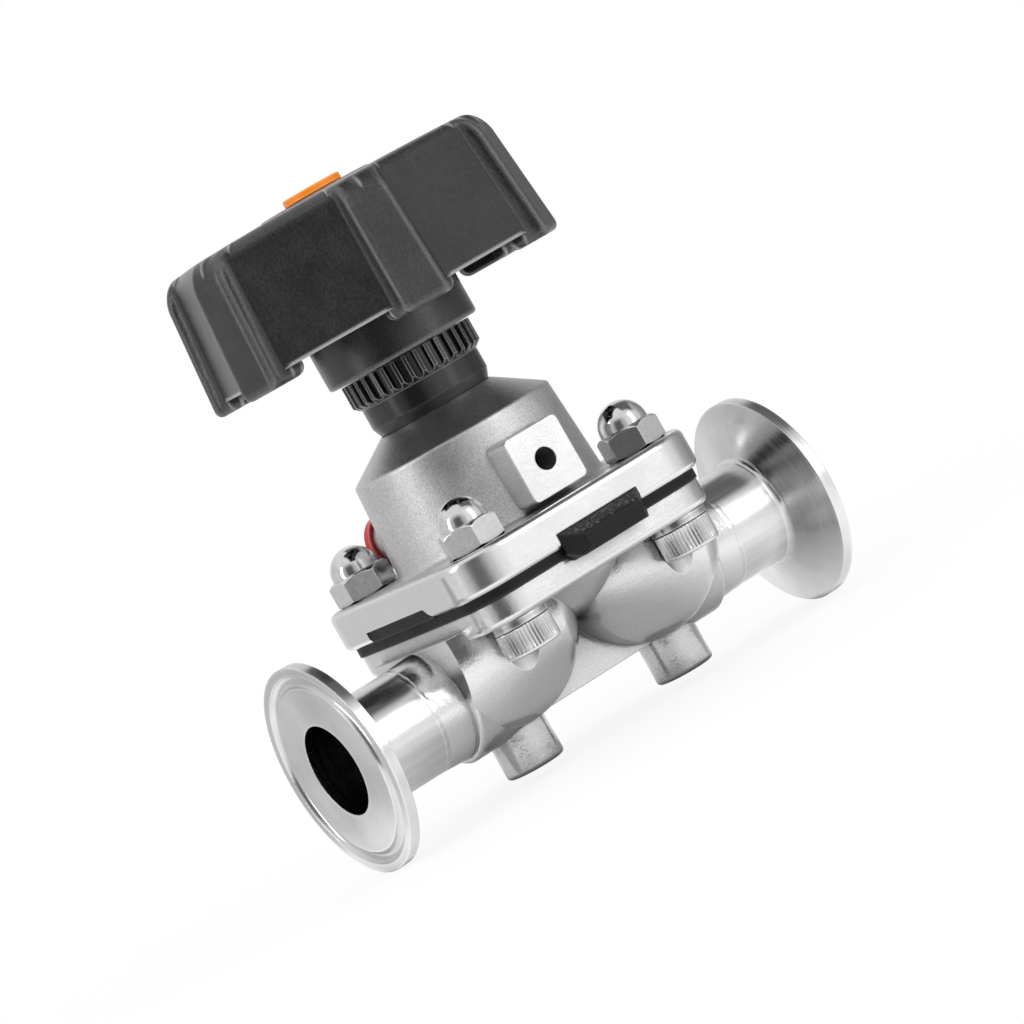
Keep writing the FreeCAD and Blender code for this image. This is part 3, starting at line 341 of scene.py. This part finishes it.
def moulded(
    name, dark, light, rim, rough, scale, lift,
    edge=0.4 * MM, shine=0.5, coat=0.0, rough_top=False, painted_shade_distance=6.0 * MM,
):
    """Moulded plastic or rubber: mottling, a fine skin (scale, lift), scuffed gloss, paler rims as a painted
    highlight and painted shade in corners.
    """
    material, tree, shader = new_material(name)
    mottle = noise(tree, 110.0, detail=6.0, rough=0.66)
    skin = noise(tree, scale, detail=4.0, rough=0.6)
    soft = soft_edges(tree, edge)
    openly = openness(tree, painted_shade_distance)
    speckle = math_node(tree, "MULTIPLY_ADD", skin, 0.6, math_node(tree, "MULTIPLY", mottle, 0.4))
    colour = two_tone(tree, speckle, dark, light, low=0.40, high=0.62)
    # rim is a paler colour painted along outer edges as a highlight
    tone = blend_colours(tree, ridges(tree, edge * HIGHLIGHT_RIM_REACH), colour, rim)
    normal = bump(tree, skin, lift, GRAIN_DEPTH, soft)
    polish = spread(tree, mottle, *rough)
    if rough_top:
        face = tree.nodes.new("ShaderNodeSeparateXYZ")
        tree.links.new(tree.nodes.new("ShaderNodeNewGeometry").outputs["Normal"], face.inputs[0])
        upward = ramp_between(tree, face.outputs[2], 0.5, 0.8)
        crumbs = noise(tree, 1500.0, detail=2.0, rough=0.5)
        specks = math_node(tree, "MULTIPLY", upward, ramp_between(tree, crumbs, 0.50, 0.66))
        tone = blend_colours(tree, specks, tone, RUBBED_RUBBER)
        normal = bump(tree, specks, 0.9, CRUMB_HEIGHT, normal)
    # Base colour darkened as painted shade in corners and gaps
    painted_shade = ramp_between(tree, openly, *MOULDED_PAINTED_SHADE)
    tree.links.new(scaled(tree, tone, painted_shade), shader.inputs["Base Color"])
    tree.links.new(polish, shader.inputs["Roughness"])
    tree.links.new(normal, shader.inputs["Normal"])
    shader.inputs["Specular IOR Level"].default_value = shine
    shader.inputs["Coat Weight"].default_value = coat
    return material


# Materials
EVEN = (1, 1, 1)
ALONG_PIPE = (0.08, 1, 1)
ROUND_STEM = (1, 1, 8)
BODY_FLANGE_Z = 10.3 * MM
NUT_SEAT_Z = 27.5 * MM
PORT_FACE_Y = -33.5 * MM
TUBE_END_X = 58.5 * MM
BORE_R = 11.05 * MM
# How dark the bore is painted: painted shade inside the tube
BORE_SHADE = 0.35
TUBE_EDGE = 0.3 * MM
TUBE_ROUGH = (0.13, 0.27)
STREAKS_SHARE = 0.5
RINGS_SHARE = 0.12
RINGS_OUTWARD = 2600.0
RINGS_ALONG = 900.0
RUBBED_RUBBER = (0.11, 0.11, 0.11)
CRUMB_HEIGHT = 0.20 * MM
# How far the painted rim highlight reaches, in edge radii
HIGHLIGHT_RIM_REACH = 1.7
METALS = {
    # Its painted shade reaches far, darkening the bulbs under the flange and the gap between them
    "cast_steel": dict(
        dark=grey(0.84), light=grey(0.93), rough=(0.10, 0.19), fine=(2400.0, EVEN, 0.05),
        cloud=(150.0, 0.16), smooth_where=body_flange, painted_shade_distance=17.0 * MM,
    ),
    "blasted_steel": dict(
        dark=grey(0.58), light=grey(0.88), rough=(0.36, 0.46), fine=(2300.0, EVEN, 0.95),
        smooth_where=bonnet_machined,
    ),
    "bright_fastener": dict(dark=grey(0.80), light=grey(0.90), rough=(0.05, 0.11), fine=(900.0, EVEN, 0.03)),
    "screw_steel": dict(dark=grey(0.72), light=grey(0.88), rough=(0.10, 0.18), fine=(1200.0, EVEN, 0.06)),
    "turned_steel": dict(
        dark=grey(0.66), light=grey(0.80), rough=(0.14, 0.24), fine=(500.0, ROUND_STEM, 0.08),
    ),
    "bronze": dict(
        dark=(0.55, 0.36, 0.16), light=(0.66, 0.45, 0.22), rough=(0.22, 0.32), fine=(700.0, ROUND_STEM, 0.08),
    ),
}
# rim: a paler colour painted along outer edges as a highlight. Each also gets painted shade in corners and
# gaps.
MOULDINGS = {
    "rubber_black": dict(
        dark=grey(0.006), light=grey(0.013), rim=grey(0.035), rough=(0.42, 0.56), scale=1800.0, lift=0.35,
        shine=0.28, rough_top=True,
    ),
    "handle_plastic": dict(
        dark=grey(0.009), light=grey(0.027), rim=grey(0.42), rough=(0.18, 0.24), scale=1600.0, lift=1.2,
        edge=0.6 * MM, shine=0.8,
    ),
    "collar_plastic": dict(
        dark=grey(0.004), light=grey(0.009), rim=grey(0.30), rough=(0.12, 0.22), scale=1500.0, lift=0.10,
        edge=0.22 * MM, shine=0.8,
    ),
    "plug_red": dict(
        dark=(0.56, 0.006, 0.012), light=(0.68, 0.012, 0.02), rim=(0.80, 0.16, 0.16), rough=(0.10, 0.18),
        scale=900.0, lift=0.04, coat=0.5, painted_shade_distance=PAINTED_SHADE_REACH,
    ),
    "label_plastic": dict(
        dark=(0.70, 0.36, 0.34), light=(0.78, 0.45, 0.43), rim=(0.85, 0.60, 0.58), rough=(0.25, 0.35),
        scale=800.0, lift=0.05, painted_shade_distance=PAINTED_SHADE_REACH,
    ),
    "indicator_orange": dict(
        dark=(0.88, 0.25, 0.01), light=(0.95, 0.31, 0.015), rim=(1.0, 0.42, 0.06), rough=(0.32, 0.42),
        scale=900.0, lift=0.08, painted_shade_distance=0.6 * MM,
    ),
}
MATERIALS = {"polished_steel": drawn_tube("polished_steel", grey(0.70), grey(0.90))}
MATERIALS.update({name: metal(name, **look) for name, look in METALS.items()})
MATERIALS.update({name: moulded(name, **look) for name, look in MOULDINGS.items()})

for entry in frame["record"]["subparts"]:
    mesh = nodes[entry["node"]].data
    mesh.materials.clear()
    mesh.materials.append(MATERIALS[entry["material_slot"]])


# Pieces in mesh code
SHARP_ANGLE = math.radians(32.0)


def lathe(name, ring_of, steps, turns, material_slot, body="housing"):
    """A closed skin of rings, round in looks but for its corners. ring_of(step, turn) gives a point."""
    mesh = bpy.data.meshes.new(name)
    work = bmesh.new()
    rings = [[work.verts.new(ring_of(step, turn)) for turn in range(turns)] for step in range(steps)]
    for low, high in zip(rings, rings[1:]):
        for turn in range(turns):
            after = (turn + 1) % turns
            work.faces.new((low[turn], low[after], high[after], high[turn]))
    work.faces.new(rings[0][::-1])
    work.faces.new(rings[-1])
    bmesh.ops.recalc_face_normals(work, faces=work.faces)
    work.to_mesh(mesh)
    work.free()
    piece = bpy.data.objects.new(name, mesh)
    bpy.context.scene.collection.objects.link(piece)
    mesh.materials.append(MATERIALS[material_slot])
    mesh.shade_smooth()
    mesh.set_sharp_from_angle(angle=SHARP_ANGLE)
    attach(piece, body)
    return piece


KNURLS = 48
KNURL_DEEP = 0.26 * MM
SOCKET_FLATS = 6.0 * MM
SOCKET_DEPTH = 4.0 * MM
SOCKET_BEVEL = 0.25 * MM
SCREW_HEAD_R = 6.6 * MM
SHANK_R = 3.95 * MM
HEAD_EDGE = 0.7 * MM
SEAT_ROUND = 0.35 * MM


def knurled_screw(name, x, y, levels):
    """A socket screw under the flange: straight knurling, chamfered end, hexagon socket, plain shank."""
    low, seat, top = levels
    reach = SCREW_HEAD_R
    steps = [
        (low + SOCKET_DEPTH, "socket", 0.0),
        (low + SOCKET_BEVEL, "socket", 0.0),
        (low, "socket", SOCKET_BEVEL),
        (low, reach - HEAD_EDGE, 0.0),
        (low + HEAD_EDGE * 0.3, reach - HEAD_EDGE * 0.35, 0.0),
        (low + HEAD_EDGE, reach, 0.6),
        (low + HEAD_EDGE * 1.4, reach, 1.0),
        (seat - SEAT_ROUND * 1.6, reach, 1.0),
        (seat - SEAT_ROUND, reach, 0.6),
        (seat, reach - SEAT_ROUND, 0.0),
        (seat, SHANK_R, 0.0),
        (top, SHANK_R, 0.0),
    ]
    turns = KNURLS * 4

    def point(step, turn):
        z, radius, share = steps[step]
        angle = 2 * math.pi * turn / turns
        if radius == "socket":
            sixth = (angle + math.pi / 6) % (math.pi / 3) - math.pi / 6
            r = (SOCKET_FLATS / 2 + share) / math.cos(sixth)
        else:
            r = radius - KNURL_DEEP * share * (0.5 + 0.5 * math.cos(KNURLS * angle))
        return x + r * math.cos(angle), y + r * math.sin(angle), z

    return lathe(name, point, len(steps), turns, "screw_steel")


def make_screws():
    """Four screws, out to the corners of the box that the plain ones fill."""
    low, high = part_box("cap_screws")
    washers_low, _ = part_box("screw_washers")
    levels = (low[2], washers_low[2], high[2])
    for index, (sx, sy) in enumerate(((-1, -1), (1, -1), (-1, 1), (1, 1))):
        x = sx * (high[0] - SCREW_HEAD_R)
        y = sy * (high[1] - SCREW_HEAD_R)
        screw = knurled_screw(f"knurled_screw_{index}", x, y, levels)
        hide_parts("cap_screws")


NUT_FLATS = 13.0 * MM
NUT_HEX_HIGH = 5.8 * MM
NUT_FOOT = 0.5 * MM
NUT_CROWN = 0.8 * MM
DOME_R = 5.75 * MM
DOME_ROOT = 0.4 * MM
DOME_STEP_DEGREES = 6
DOME_POLE_R = 0.1 * MM
NUT_SIDES = 96
BOLT_X = 23.0 * MM
BOLT_Y = 29.5 * MM
NUT_TURNS = {(-1, 1): 33.0, (-1, -1): 10.0, (1, -1): 20.0, (1, 1): 35.0}


def dome_nut(name, x, y, turn_degrees, low, high):
    """A dome nut: hexagon with turned chamfers at foot and crown, a small root fillet and a round dome."""
    corner = NUT_FLATS / math.sqrt(3)
    flat = NUT_FLATS / 2
    hex_top = low + NUT_HEX_HIGH
    dome_z = high - DOME_R
    quarters = (0.0, 0.25, 0.5, 0.75, 1.0)
    steps = [(low + NUT_FOOT * t, flat + (corner - flat) * t) for t in quarters]
    steps += [(hex_top - NUT_CROWN * (1 - t), corner - (corner - flat) * t) for t in quarters]
    steps += [(hex_top, DOME_R + DOME_ROOT), (hex_top + DOME_ROOT * 0.3, DOME_R + DOME_ROOT * 0.3)]
    steps += [(hex_top + DOME_ROOT, DOME_R)]
    for degrees in range(0, 90, DOME_STEP_DEGREES):
        angle = math.radians(degrees)
        steps.append((dome_z + DOME_R * math.sin(angle), DOME_R * math.cos(angle)))
    steps.append((high, DOME_POLE_R))

    def point(step, turn):
        z, reach = steps[step]
        angle = 2 * math.pi * turn / NUT_SIDES
        sixth = angle % (math.pi / 3) - math.pi / 6
        r = min(reach, flat / math.cos(sixth))
        angle += math.radians(turn_degrees)
        return x + r * math.cos(angle), y + r * math.sin(angle), z

    return lathe(name, point, len(steps), NUT_SIDES, "bright_fastener")


def make_nuts():
    """Four nuts on the bolt circle, each turned as in the photograph."""
    low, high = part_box("acorn_nuts")
    for index, ((sx, sy), turn) in enumerate(NUT_TURNS.items()):
        nut = dome_nut(f"dome_nut_{index}", sx * BOLT_X, sy * BOLT_Y, turn, low[2], high[2])
        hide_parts("acorn_nuts")


WELD_X = 43.5 * MM
WELD_R = 12.7 * MM
WELD_HALF = 0.9 * MM
WELD_PROUD = 0.07 * MM
WELD_SUNK = 0.02 * MM
WELD_RINGS = 7
WELD_SIDES = 180


def make_weld(name, side):
    """A ground-back seam where the ferrule's tube is welded to the body's stub."""

    def point(step, turn):
        share = step / (WELD_RINGS - 1) * 2 - 1
        angle = 2 * math.pi * turn / WELD_SIDES
        wobble = 0.012 * MM * math.sin(31 * angle) + 0.01 * MM * math.sin(47 * angle + 1)
        r = WELD_R - WELD_SUNK + (WELD_PROUD + wobble) * (1 - share * share)
        x = side * WELD_X + share * (WELD_HALF + 2 * wobble)
        return x, r * math.cos(angle), r * math.sin(angle)

    return lathe(name, point, WELD_RINGS, WELD_SIDES, "polished_steel")


# Studio
def make_floor():
    """White to the eye, with the object's shadow, and of modest size in reflections, where it carries a
    painted shade under the object.
    """
    bpy.ops.mesh.primitive_plane_add(size=FLOOR_SIZE, location=(0, 0, LOW_POINT))
    floor = bpy.context.object
    floor.name = "floor"
    material, tree, output = empty_material("floor_white")
    matte = add_node(tree, "ShaderNodeBsdfDiffuse", Color=(0.88, 0.88, 0.88, 1))
    glow = add_node(tree, "ShaderNodeEmission", Color=(1, 1, 1, 1))
    mix = tree.nodes.new("ShaderNodeMixShader")
    path = tree.nodes.new("ShaderNodeLightPath")
    place = tree.nodes.new("ShaderNodeTexCoord")
    length = add_node(tree, "ShaderNodeVectorMath", operation="LENGTH")
    tree.links.new(place.outputs["Object"], length.inputs[0])
    reach = length.outputs["Value"]
    # In reflections the floor is painted darker near the object, as a painted shade under it
    in_gloss = ramp_between(tree, reach, *FLOOR_GLOSS_PAINTED_SHADE_REACH, *FLOOR_GLOSS_PAINTED_SHADE)
    strength = blend_values(tree, path.outputs["Is Glossy Ray"], 1.0, in_gloss)
    tree.links.new(strength, glow.inputs["Strength"])
    fade = ramp_between(tree, reach, *FLOOR_FADE_REACH, FLOOR_WHITE_NEAR, 1.0)
    seen = math_node(tree, "MAXIMUM", path.outputs["Is Camera Ray"], path.outputs["Is Glossy Ray"])
    seen = math_node(tree, "MAXIMUM", seen, path.outputs["Is Transmission Ray"])
    tree.links.new(math_node(tree, "MULTIPLY", seen, fade), mix.inputs["Fac"])
    tree.links.new(matte.outputs[0], mix.inputs[1])
    tree.links.new(glow.outputs[0], mix.inputs[2])
    far = ramp_between(tree, reach, *FLOOR_OPEN_REACH)
    through = tree.nodes.new("ShaderNodeBsdfTransparent")
    open_far = tree.nodes.new("ShaderNodeMixShader")
    tree.links.new(math_node(tree, "MULTIPLY", path.outputs["Is Glossy Ray"], far), open_far.inputs["Fac"])
    tree.links.new(mix.outputs[0], open_far.inputs[1])
    tree.links.new(through.outputs[0], open_far.inputs[2])
    tree.links.new(open_far.outputs[0], output.inputs["Surface"])
    floor.data.materials.append(material)


# The white tent as gloss shows it: its brightness round the horizon, in degrees from +X towards +Y
TENT = [
    (-180, 0.74),
    (-165, 0.58),
    (-148, 0.14),
    (-128, 0.14),
    (-108, 0.62),
    (-90, 1.0),
    (-63, 1.1),
    (-35, 0.9),
    (-8, 0.45),
    (20, 0.30),
    (38, 0.46),
    (52, 0.92),
    (66, 1.0),
    (90, 0.92),
    (117, 0.72),
    (150, 0.80),
    (180, 0.74),
]
OVERHEAD = 0.92
OVERHEAD_FROM = (0.45, 0.80)
CARD_X = 0.46
CARD_ALONG = (0.35, 0.60)
CARD_ACROSS = (0.24, 0.36)
CARD_ABOVE = 0.3
CARD_TONE = 0.16
WORLD_LIGHT = 0.5


def tent_glow(tree):
    """How bright the tent is in each direction: bright panels, darker gaps and one dark card overhead."""
    way = tree.nodes.new("ShaderNodeTexCoord").outputs["Generated"]
    parts = tree.nodes.new("ShaderNodeSeparateXYZ")
    tree.links.new(way, parts.inputs[0])
    x, y, z = parts.outputs
    turn = math_node(tree, "MULTIPLY_ADD", math_node(tree, "ARCTAN2", y, x), 0.5 / math.pi, 0.5)
    around = tree.nodes.new("ShaderNodeValToRGB")
    elements = around.color_ramp.elements
    around.color_ramp.interpolation = "EASE"
    while len(elements) < len(TENT):
        elements.new(0.5)
    for element, (degrees, _) in zip(elements, TENT):
        element.position = (degrees + 180) / 360
    for element, (_, level) in zip(elements, TENT):
        element.color = (level, level, level, 1)
    tree.links.new(turn, around.inputs["Fac"])
    high = ramp_between(tree, z, *OVERHEAD_FROM)
    glow = blend_values(tree, high, around.outputs["Color"], OVERHEAD)
    along = ramp_between(tree, math_node(tree, "ABSOLUTE", y), *CARD_ALONG, 1.0, 0.0)
    offset = math_node(tree, "ABSOLUTE", math_node(tree, "SUBTRACT", x, CARD_X))
    across = ramp_between(tree, offset, *CARD_ACROSS, 1.0, 0.0)
    both = math_node(tree, "MULTIPLY", along, across)
    card = math_node(tree, "MULTIPLY", both, math_node(tree, "GREATER_THAN", z, CARD_ABOVE))
    return blend_values(tree, card, glow, CARD_TONE)


def make_world():
    """White to the eye, the tent to gloss, and an even grey light on everything else."""
    world = bpy.data.worlds.new("studio")
    bpy.context.scene.world = world
    world.use_nodes = True
    tree = world.node_tree
    tree.nodes.clear()
    output = tree.nodes.new("ShaderNodeOutputWorld")
    seen = add_node(tree, "ShaderNodeBackground", Color=(1, 1, 1, 1), Strength=1.0)
    light = add_node(tree, "ShaderNodeBackground", Color=(1, 1, 1, 1), Strength=WORLD_LIGHT)
    tent = tree.nodes.new("ShaderNodeBackground")
    tree.links.new(tent_glow(tree), tent.inputs["Strength"])
    path = tree.nodes.new("ShaderNodeLightPath")
    straight = math_node(tree, "MAXIMUM", path.outputs["Is Camera Ray"], path.outputs["Is Transmission Ray"])
    gloss = tree.nodes.new("ShaderNodeMixShader")
    tree.links.new(path.outputs["Is Glossy Ray"], gloss.inputs["Fac"])
    tree.links.new(light.outputs[0], gloss.inputs[1])
    tree.links.new(tent.outputs[0], gloss.inputs[2])
    mix = tree.nodes.new("ShaderNodeMixShader")
    tree.links.new(straight, mix.inputs["Fac"])
    tree.links.new(gloss.outputs[0], mix.inputs[1])
    tree.links.new(seen.outputs[0], mix.inputs[2])
    tree.links.new(mix.outputs[0], output.inputs["Surface"])


def add_lamp(name, place, aim, size, power, in_gloss=False):
    """A rectangular soft lamp, which gloss shows only where it is meant to."""
    data = bpy.data.lights.new(name, "AREA")
    data.shape = "RECTANGLE"
    data.size = size[0]
    data.size_y = size[1]
    data.energy = power
    lamp = bpy.data.objects.new(name, data)
    bpy.context.scene.collection.objects.link(lamp)
    lamp.location = place
    lamp.rotation_euler = (Vector(aim) - Vector(place)).to_track_quat("-Z", "Y").to_euler()
    lamp.visible_glossy = in_gloss


def make_camera():
    """The photograph's camera: its place, the way it looks, its dip and its roll."""
    heading = math.radians(CAMERA_HEADING)
    dip = math.radians(CAMERA_DIP)
    ahead = Vector((math.sin(heading) * math.cos(dip), math.cos(heading) * math.cos(dip), -math.sin(dip)))
    level = ahead.cross(Vector((0, 0, 1))).normalized()
    up = level.cross(ahead)
    roll = math.radians(CAMERA_ROLL)
    right = level * math.cos(roll) + up * math.sin(roll)
    top = right.cross(ahead)
    data = bpy.data.cameras.new("camera")
    data.sensor_width = SENSOR_MM
    data.lens = FOCAL_PIXELS / PHOTO_PIXELS * SENSOR_MM
    camera = bpy.data.objects.new("camera", data)
    bpy.context.scene.collection.objects.link(camera)
    turn = Matrix((right, top, -ahead)).transposed().to_4x4()
    camera.matrix_world = Matrix.Translation(CAMERA_PLACE) @ turn
    bpy.context.scene.camera = camera


make_camera()
make_nuts()
make_screws()
make_weld("weld_inlet", -1)
make_weld("weld_outlet", 1)
make_floor()
make_world()
MIDDLE = (0, 0, 0.04)
add_lamp("key_softbox", (-0.9, -0.7, 0.9), MIDDLE, (0.7, 0.7), 7.0)
add_lamp("fill_softbox", (0.9, -0.8, 0.5), MIDDLE, (0.5, 0.8), 3.0)
add_lamp("top_softbox", (0.1, 0.2, 1.1), MIDDLE, (0.8, 0.5), 5.0)
add_lamp("left_strip", (-1.13, 0.04, 0.45), MIDDLE, (0.22, 0.8), 1.6, in_gloss=True)
add_lamp("right_strip", (0.52, -1.02, 0.45), MIDDLE, (0.34, 0.8), 1.3, in_gloss=True)
bpy.context.scene.view_settings.view_transform = "Standard"
